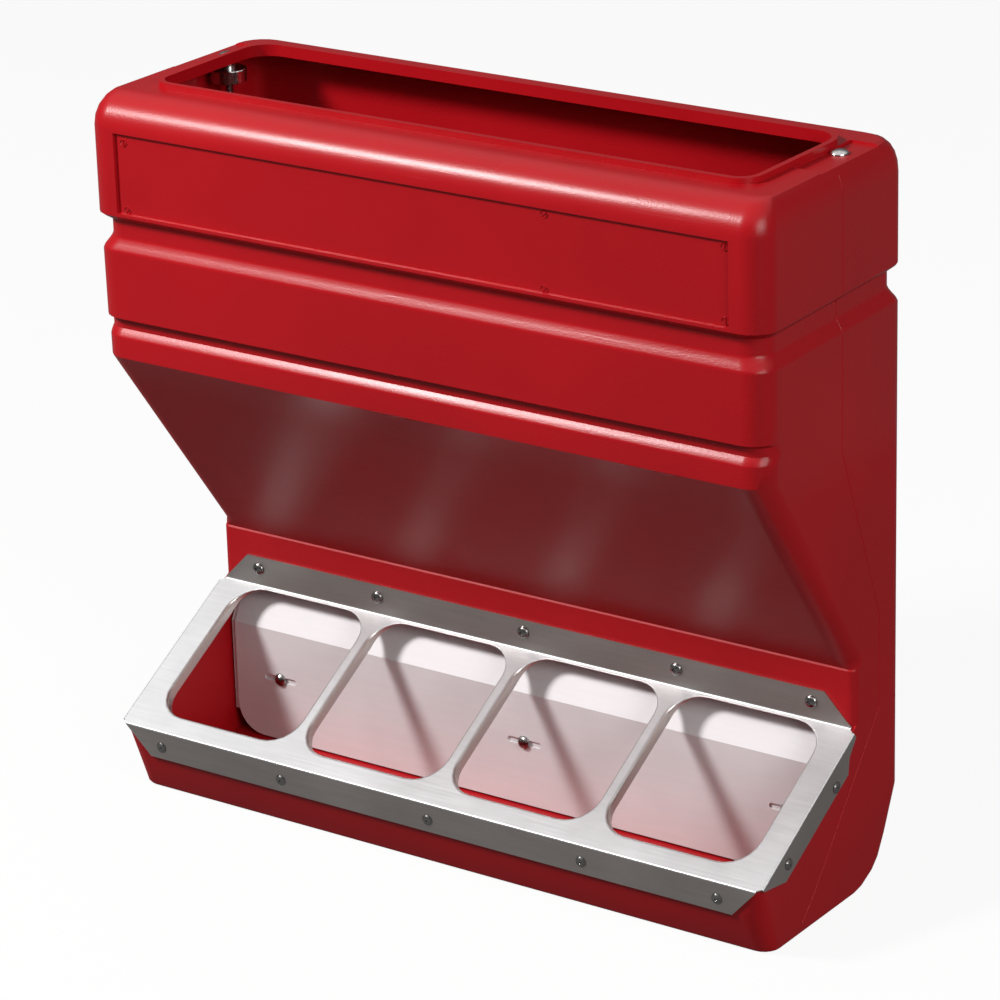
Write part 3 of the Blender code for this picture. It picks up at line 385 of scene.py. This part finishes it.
class FeederSteelLooks(bpy.types.PropertyGroup):
    """Colours of the sheet steel and the fixings."""

    colour: bpy.props.FloatVectorProperty(
        name="Face colour", description="Colour of the frame's sloped face",
        subtype="COLOR", size=3, default=(0.68, 0.68, 0.685))
    # Painted shade: the folds' colour is a darker copy of the face's, standing in for their dark
    # reflection
    fold_shade_colour: bpy.props.FloatVectorProperty(
        name="Fold colour", description="Colour of the frame's folds",
        subtype="COLOR", size=3, default=(0.60, 0.55, 0.52))
    plate_colour: bpy.props.FloatVectorProperty(
        name="Plate colour", description="Colour of the two plates",
        subtype="COLOR", size=3, default=(0.83, 0.79, 0.80))
    satin: bpy.props.FloatProperty(
        name="Satin", description="How little of a mirror the sloped face is",
        subtype="FACTOR", default=0.5, min=0.0, max=1.0)
    roughness: bpy.props.FloatProperty(
        name="Sheet roughness", description="How dull the frame's sheet is",
        subtype="FACTOR", default=0.32, min=0.0, max=1.0)
    fixing_colour: bpy.props.FloatVectorProperty(
        name="Fixing colour", description="Colour of bolts, rivets and the plates' screws",
        subtype="COLOR", size=3, default=(0.34, 0.33, 0.32))
    rod_colour: bpy.props.FloatVectorProperty(
        name="Rod colour", description="Colour of the rods and knobs",
        subtype="COLOR", size=3, default=(0.62, 0.61, 0.60))
    edge: bpy.props.FloatProperty(
        name="Edge rounding", description="Rounding of the two plates' edges",
        unit="LENGTH", default=0.00025, min=0.0)


class FeederRodLooks(bpy.types.PropertyGroup):
    """Sizes of the adjusting rods' thread."""

    pitch: bpy.props.FloatProperty(
        name="Pitch", description="Rise of the thread in one turn",
        unit="LENGTH", default=0.00127, min=0.0005)
    depth: bpy.props.FloatProperty(
        name="Thread depth", description="Depth of the thread",
        unit="LENGTH", default=0.0005, min=0.0)


class FeederStageLooks(bpy.types.PropertyGroup):
    """Colours and levels of the studio."""

    floor_colour: bpy.props.FloatVectorProperty(
        name="Floor colour", description="Colour of the floor",
        subtype="COLOR", size=3, default=(0.90, 0.90, 0.90))
    floor_glow: bpy.props.FloatProperty(
        name="Floor whiteness", description="How white the camera sees the floor",
        subtype="FACTOR", default=0.92, min=0.0, max=1.0)
    floor_mirrored: bpy.props.FloatProperty(
        name="Floor in mirrors", description="How white metal shows the floor",
        subtype="FACTOR", default=0.12, min=0.0, max=1.0)
    floor_bounce: bpy.props.FloatProperty(
        name="Floor bounce", description="How pale the floor is to the feeder",
        subtype="FACTOR", default=0.06, min=0.0, max=1.0)
    ambient: bpy.props.FloatProperty(
        name="Ambient level", description="Strength of the light from all round",
        default=0.13, min=0.0)
    horizon: bpy.props.FloatProperty(
        name="Horizon level", description="Brightness of the horizon in reflections",
        default=0.12, min=0.0)
    key: bpy.props.FloatProperty(
        name="Key level", description="Power of the key lamp, in watts",
        default=84.0, min=0.0)
    fill: bpy.props.FloatProperty(
        name="Fill level", description="Power of the fill lamp, in watts",
        default=46.0, min=0.0)


class FEEDER_OT_shell(bpy.types.Operator):
    """Make the moulded hopper and trough, with the marks that the mould left on it"""

    bl_idname = "feeder.shell"
    bl_label = "Moulded shell"

    def execute(self, context):
        looks = context.scene.feeder_shell
        plastic = moulded_plastic(looks)
        builder = merged_copy("hopper_shell")
        walls = BVHTree.FromBMesh(builder)
        soften(builder, looks.edge, angle=30.0)
        finished("moulded_shell", builder, plastic, "feeder", ["hopper_shell"],
                 sharp=30.0)
        for side, name in ((-1, "left"), (1, "right")):
            self.parting_line(name, side, walls, looks.seam, plastic)
        for number, (across, height, turn) in enumerate(SCREW_PRINTS, 1):
            seat = walls.ray_cast(Vector((across, -1.0, height)), Vector((0.0, 1.0, 0.0)))[0]
            self.screw_print(f"mould_screw_print_{number}", seat, math.radians(turn), looks.mark, plastic)
        return {"FINISHED"}

    def parting_line(self, name, side, walls, radius, plastic):
        """A fine ridge that follows the wall's outside down one side."""
        points = []
        for start, end in zip(PARTING_LINE, PARTING_LINE[1:]):
            start, end = Vector(start), Vector(end)
            steps = max(1, round((end - start).length / RIDGE_STRETCH))
            for step in range(steps):
                depth, height = start.lerp(end, step / steps)
                hit = walls.ray_cast(Vector((side, depth, height)), Vector((-side, 0.0, 0.0)))[0]
                points.append(hit - Vector((side * radius * RIDGE_SINK, 0.0, 0.0)))
        curve = bpy.data.curves.new(f"{name}_parting_line", "CURVE")
        curve.dimensions = "3D"
        curve.bevel_depth = radius
        curve.bevel_resolution = 1
        curve.use_fill_caps = True
        spline = curve.splines.new("POLY")
        spline.points.add(len(points) - 1)
        for point, place in zip(spline.points, points):
            point.co = (*place, 1.0)
        curve.materials.append(plastic)
        ridge = bpy.data.objects.new(f"{name}_parting_line", curve)
        bpy.context.scene.collection.objects.link(ridge)
        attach(ridge, "feeder")

    def screw_print(self, name, seat, turn, radius, plastic):
        """The print of a small slotted screw: a low ring with a bar across it."""
        rise = radius * 0.20
        facing = Matrix.Translation(seat) @ Matrix.Rotation(math.radians(90.0), 4, "X")
        ring = [(0.0, rise * 0.3), (radius * 0.74, rise * 0.2), (radius * 0.84, rise), (radius, -rise),
                (0.0, -rise)]
        builder = spun(ring, facing, steps=28)
        bar = bmesh.ops.create_cube(builder, size=1.0)["verts"]
        bmesh.ops.scale(builder, verts=bar, vec=(radius * 1.5, radius * 0.26, rise * 2.2))
        bmesh.ops.transform(builder, matrix=facing @ Matrix.Rotation(turn, 4, "Z"), verts=bar)
        finished(name, builder, plastic, "feeder", (), sharp=30.0)


class FEEDER_OT_frame(bpy.types.Operator):
    """Make the folded steel frame and its bolts, nuts and rivets"""

    bl_idname = "feeder.frame"
    bl_label = "Steel frame"

    def execute(self, context):
        looks = context.scene.feeder_steel
        sheet = folded_steel(looks)
        finished("folded_frame", merged_copy("trough_frame"), sheet, "feeder", ["trough_frame"],
                 sharp=46.0)
        plated = plated_metal("plated_fixings", looks.fixing_colour)
        for node in named("frame_bolt"):
            finished(f"{node}_head", self.bolt(*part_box(node)), plated, "feeder", [node],
                     sharp=40.0)
        for node in named("front_rivet", "left_rivet", "right_rivet"):
            finished(f"{node}_head", merged_copy(node), plated, "feeder", [node],
                     sharp=50.0)
        paint(named("frame_nut"), plated)
        return {"FINISHED"}

    def bolt(self, low, high):
        """A button head with a round socket, on its plain shank."""
        radius = (high.x - low.x) / 2
        shank = radius * 0.55
        floor = BOLT_HEAD * 0.45
        profile = [(0.0, floor), (radius * 0.34, floor), (radius * 0.36, BOLT_HEAD * 0.93)]
        profile += [(radius * math.cos(angle), BOLT_HEAD * (0.06 + 0.90 * math.sin(angle)))
                    for angle in [math.radians(60.0 - 12.0 * step) for step in range(6)]]
        profile += [(radius, 0.0), (shank, 0.0), (shank, -BOLT_SHANK), (0.0, -BOLT_SHANK)]
        # The solid's crown is flat, so it stands a little lower than the whole head
        crown = BOLT_HEAD * 0.951
        seat = Vector(((low.x + high.x) / 2, low.y + crown, (low.z + high.z) / 2))
        facing = Matrix.Translation(seat) @ Matrix.Rotation(math.radians(90.0), 4, "X")
        return spun(profile, facing, steps=32)


class FEEDER_OT_plates(bpy.types.Operator):
    """Make the feed gate, the agitator plate and the screws that join them"""

    bl_idname = "feeder.plates"
    bl_label = "Gate and agitator"

    def execute(self, context):
        looks = context.scene.feeder_steel
        steel = plate_steel(looks)
        for node, body in (("agitator_plate", "agitator"), ("feed_gate", "gate")):
            builder = merged_copy(node)
            soften(builder, looks.edge, angle=60.0)
            finished(f"{node}_sheet", builder, steel, body, [node], sharp=20.0)
        paint(named("agitator_screw", "agitator_nut"), plated_metal("plated_screws", looks.fixing_colour))
        return {"FINISHED"}


class FEEDER_OT_rods(bpy.types.Operator):
    """Make the threaded rods, with their heads, knobs, set screws and gate nuts"""

    bl_idname = "feeder.rods"
    bl_label = "Adjusting rods"

    def execute(self, context):
        bright = plated_metal("bright_rods", context.scene.feeder_steel.rod_colour)
        for side in ("left", "right"):
            self.rod(side, context.scene.feeder_rod, bright)
            knob = f"{side}_adjusting_knob"
            finished(f"{side}_knurled_knob", merged_copy(knob), bright, f"{side}_rod", [knob],
                     sharp=30.0)
        paint(named("left_set_screw", "right_set_screw", "left_gate_nut", "right_gate_nut"), bright)
        return {"FINISHED"}

    def rod(self, side, looks, bright):
        """A threaded rod, cut to length, under a button head with a plain neck."""
        node = f"{side}_adjusting_rod"
        low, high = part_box(node)
        middle = (low + high) / 2
        head_foot = high.z - ROD_HEAD
        start = (middle.x, middle.y, low.z - looks.pitch)
        builder = self.thread(start, head_foot - low.z + looks.pitch * 2, looks)
        for height, outwards in ((low.z + THREAD_END, -1.0), (head_foot, 1.0)):
            bmesh.ops.bisect_plane(builder, geom=whole_mesh(builder), plane_co=(0.0, 0.0, height),
                                   plane_no=(0.0, 0.0, outwards), clear_outer=True)
        bmesh.ops.holes_fill(builder, edges=[edge for edge in builder.edges if edge.is_boundary], sides=0)
        bmesh.ops.recalc_face_normals(builder, faces=builder.faces)
        finished(f"{side}_rod_thread", builder, bright, f"{side}_rod", [node],
                 sharp=70.0)
        radius = (high.x - low.x) / 2
        neck = THREAD_CREST * 0.92
        profile = [(radius * math.cos(angle), ROD_BRIM + ROD_DOME * math.sin(angle))
                   for angle in [math.radians(90.0 - 15.0 * step) for step in range(7)]]
        profile += [(radius, 0.0), (neck, 0.0), (neck, -ROD_NECK), (0.0, -ROD_NECK)]
        head = spun(profile, Matrix.Translation((middle.x, middle.y, head_foot)), steps=36)
        finished(f"{side}_rod_head", head, bright, f"{side}_rod", (), sharp=40.0)

    def thread(self, start, length, looks):
        """One turn of thread, spun and lifted a pitch, then doubled until it is long enough."""
        root = THREAD_CREST - looks.depth
        builder = bmesh.new()
        profile = ((root, 0.0), (THREAD_CREST, looks.pitch * 0.5), (root, looks.pitch))
        bmesh.ops.spin(builder, geom=profile_line(builder, profile), cent=(0.0, 0.0, 0.0),
                       axis=(0.0, 0.0, 1.0), dvec=(0.0, 0.0, looks.pitch / THREAD_STEPS),
                       angle=math.tau, steps=THREAD_STEPS)
        bmesh.ops.translate(builder, verts=builder.verts, vec=start)
        reach = looks.pitch
        while reach < length:
            copy = bmesh.ops.duplicate(builder, geom=whole_mesh(builder))["geom"]
            copied = [item for item in copy if isinstance(item, bmesh.types.BMVert)]
            bmesh.ops.translate(builder, verts=copied, vec=(0.0, 0.0, reach))
            reach *= 2
        bmesh.ops.remove_doubles(builder, verts=builder.verts, dist=WELD)
        return builder


class FEEDER_OT_stage(bpy.types.Operator):
    """Set the floor, the white surroundings, the lamps and the camera"""

    bl_idname = "feeder.stage"
    bl_label = "Studio"

    def execute(self, context):
        scene = context.scene
        looks = scene.feeder_stage
        self.floor(scene, looks)
        self.surroundings(scene, looks)
        self.lamp(scene, "key_lamp", KEY_PLACE, KEY_SIZE, looks.key)
        self.lamp(scene, "fill_lamp", FILL_PLACE, FILL_SIZE, looks.fill)
        self.camera(scene)
        scene.view_settings.view_transform = "Standard"
        return {"FINISHED"}

    def floor(self, scene, looks):
        """A wide flat floor, a hair below the feeder's base."""
        builder = bmesh.new()
        bmesh.ops.create_grid(builder, x_segments=1, y_segments=1, size=FLOOR_SIZE)
        mesh = bpy.data.meshes.new("studio_floor")
        builder.to_mesh(mesh)
        builder.free()
        mesh.materials.append(pale_floor(looks))
        floor = bpy.data.objects.new("studio_floor", mesh)
        floor.location.z = -FLOOR_DROP
        scene.collection.objects.link(floor)

    def lamp(self, scene, name, place, size, power):
        """A square soft lamp that faces the feeder's middle."""
        light = bpy.data.lights.new(name, "AREA")
        light.size = size
        light.energy = power
        item = bpy.data.objects.new(name, light)
        item.location = place
        aim = Vector(LAMP_AIM) - Vector(place)
        item.rotation_euler = aim.to_track_quat("-Z", "Y").to_euler()
        scene.collection.objects.link(item)

    def camera(self, scene):
        """The camera that the feeder is seen with."""
        camera = bpy.data.cameras.new("photo_camera")
        camera.sensor_width = CAMERA_SENSOR
        camera.lens = CAMERA_LENS
        item = bpy.data.objects.new("photo_camera", camera)
        item.location = CAMERA_PLACE
        item.rotation_euler = [math.radians(angle) for angle in CAMERA_TURN]
        scene.collection.objects.link(item)
        scene.camera = item

    def surroundings(self, scene, looks):
        """White to the camera, white overhead in reflections, and an even soft light to the rest."""
        world = bpy.data.worlds.new("surroundings")
        world.use_nodes = True
        scene.world = world
        tree = world.node_tree
        path = tree.nodes.new("ShaderNodeLightPath")
        point = tree.nodes.new("ShaderNodeTexCoord")
        axes = tree.nodes.new("ShaderNodeSeparateXYZ")
        overhead = tree.nodes.new("ShaderNodeMapRange")
        overhead.inputs["From Min"].default_value = OVERHEAD_START
        overhead.inputs["From Max"].default_value = OVERHEAD_WHOLE
        overhead.inputs["To Min"].default_value = looks.horizon
        mirrored = tree.nodes.new("ShaderNodeMix")
        mirrored.inputs[2].default_value = looks.ambient
        seen = tree.nodes.new("ShaderNodeMix")
        seen.inputs[3].default_value = 1.0
        background = tree.nodes["Background"]
        background.inputs["Color"].default_value = (1.0, 1.0, 1.0, 1.0)
        for start, end in ((point.outputs["Generated"], axes.inputs[0]),
                           (axes.outputs["Z"], overhead.inputs["Value"]),
                           (path.outputs["Is Glossy Ray"], mirrored.inputs[0]),
                           (overhead.outputs[0], mirrored.inputs[3]),
                           (path.outputs["Is Camera Ray"], seen.inputs[0]),
                           (mirrored.outputs[0], seen.inputs[2]),
                           (seen.outputs[0], background.inputs["Strength"])):
            tree.links.new(start, end)


class FEEDER_PT_panel(bpy.types.Panel):
    """Lists the feeder's sizes, colours and pieces in the sidebar"""

    bl_idname = "FEEDER_PT_panel"
    bl_label = "Nursery feeder"
    bl_space_type = "VIEW_3D"
    bl_region_type = "UI"
    bl_category = "Feeder"

    def draw(self, context):
        for name, _ in LOOKS:
            looks = getattr(context.scene, name)
            box = self.layout.box()
            for entry in looks.__annotations__:
                box.prop(looks, entry)
        for operator in OPERATORS:
            self.layout.operator(operator.bl_idname)


OPERATORS = (FEEDER_OT_shell, FEEDER_OT_frame, FEEDER_OT_plates, FEEDER_OT_rods, FEEDER_OT_stage)
LOOKS = (("feeder_shell", FeederShellLooks), ("feeder_steel", FeederSteelLooks),
         ("feeder_rod", FeederRodLooks), ("feeder_stage", FeederStageLooks))


def register():
    """Add the feeder's settings, operators and panel."""
    for name, looks in LOOKS:
        bpy.utils.register_class(looks)
        setattr(bpy.types.Scene, name, bpy.props.PointerProperty(type=looks))
    for item in (*OPERATORS, FEEDER_PT_panel):
        bpy.utils.register_class(item)


def unregister():
    """Take them away again."""
    for item in reversed((*OPERATORS, FEEDER_PT_panel)):
        bpy.utils.unregister_class(item)
    for name, looks in reversed(LOOKS):
        delattr(bpy.types.Scene, name)
        bpy.utils.unregister_class(looks)


def main():
    """Make every piece."""
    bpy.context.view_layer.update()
    register()
    bpy.ops.feeder.shell()
    bpy.ops.feeder.frame()
    bpy.ops.feeder.plates()
    bpy.ops.feeder.rods()
    bpy.ops.feeder.stage()
    bpy.context.view_layer.update()


if __name__ == "__main__":
    main()
